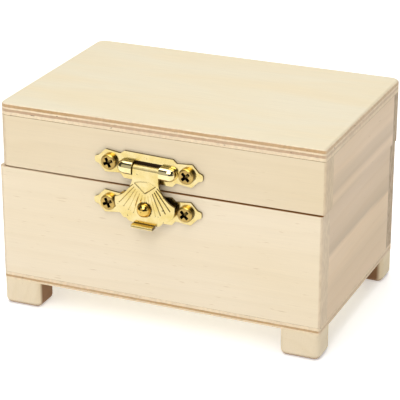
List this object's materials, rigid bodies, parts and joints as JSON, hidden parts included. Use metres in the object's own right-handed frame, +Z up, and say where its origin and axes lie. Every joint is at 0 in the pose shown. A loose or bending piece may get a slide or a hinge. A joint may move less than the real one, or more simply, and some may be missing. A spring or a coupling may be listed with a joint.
{
  "type": "hinged wooden box",
  "caption": "Small raw-wood keepsake box on block feet, with a plywood-topped hinged lid and a brass shell hasp that swings over a ball stud.",
  "frame": {"origin": "on the floor under the middle of the whole object's bounding box, with the lid closed", "axes": "+Z up, +X along the width to the right, -Y out of the front where the hasp is"},
  "size_m": [0.1208, 0.0894, 0.0764],
  "materials": {
    "solid_wood": "raw sanded",
    "plywood": "raw sanded",
    "brass_plate": "polished",
    "screw_brass": "satin"
  },
  "bodies": {
    "base": {"base_front": "solid_wood", "base_back": "solid_wood", "base_left": "solid_wood", "base_right": "solid_wood", "bottom_panel": "plywood", "foot_front_left": "solid_wood", "foot_front_right": "solid_wood", "foot_back_left": "solid_wood", "foot_back_right": "solid_wood", "hasp_base_plate": "brass_plate", "hasp_stud": "brass_plate", "hasp_base_screws": "screw_brass", "hinge_left_base_leaf": "brass_plate", "hinge_right_base_leaf": "brass_plate", "hinge_left_pin": "brass_plate", "hinge_right_pin": "brass_plate", "hinge_base_screws": "screw_brass"},
    "lid": {"lid_front": "solid_wood", "lid_back": "solid_wood", "lid_left": "solid_wood", "lid_right": "solid_wood", "lid_top": "plywood", "hasp_lid_plate": "brass_plate", "hasp_pin": "brass_plate", "hasp_lid_screws": "screw_brass", "hinge_left_lid_leaf": "brass_plate", "hinge_right_lid_leaf": "brass_plate", "hinge_lid_screws": "screw_brass"},
    "flap": {"hasp_flap": "brass_plate"}
  },
  "joints": [
    {"name": "lid_hinge", "type": "hinge", "parent": "base", "child": "lid", "pos_m": [-0.0004, 0.04308, 0.05318], "axis": [-1, 0, 0], "range_deg": [0, 165]},
    {"name": "flap_hinge", "type": "hinge", "parent": "lid", "child": "flap", "pos_m": [-0.00242, -0.04038, 0.06045], "axis": [-0.9994, 0, 0.0349], "range_deg": [0, 155]}
  ]
}
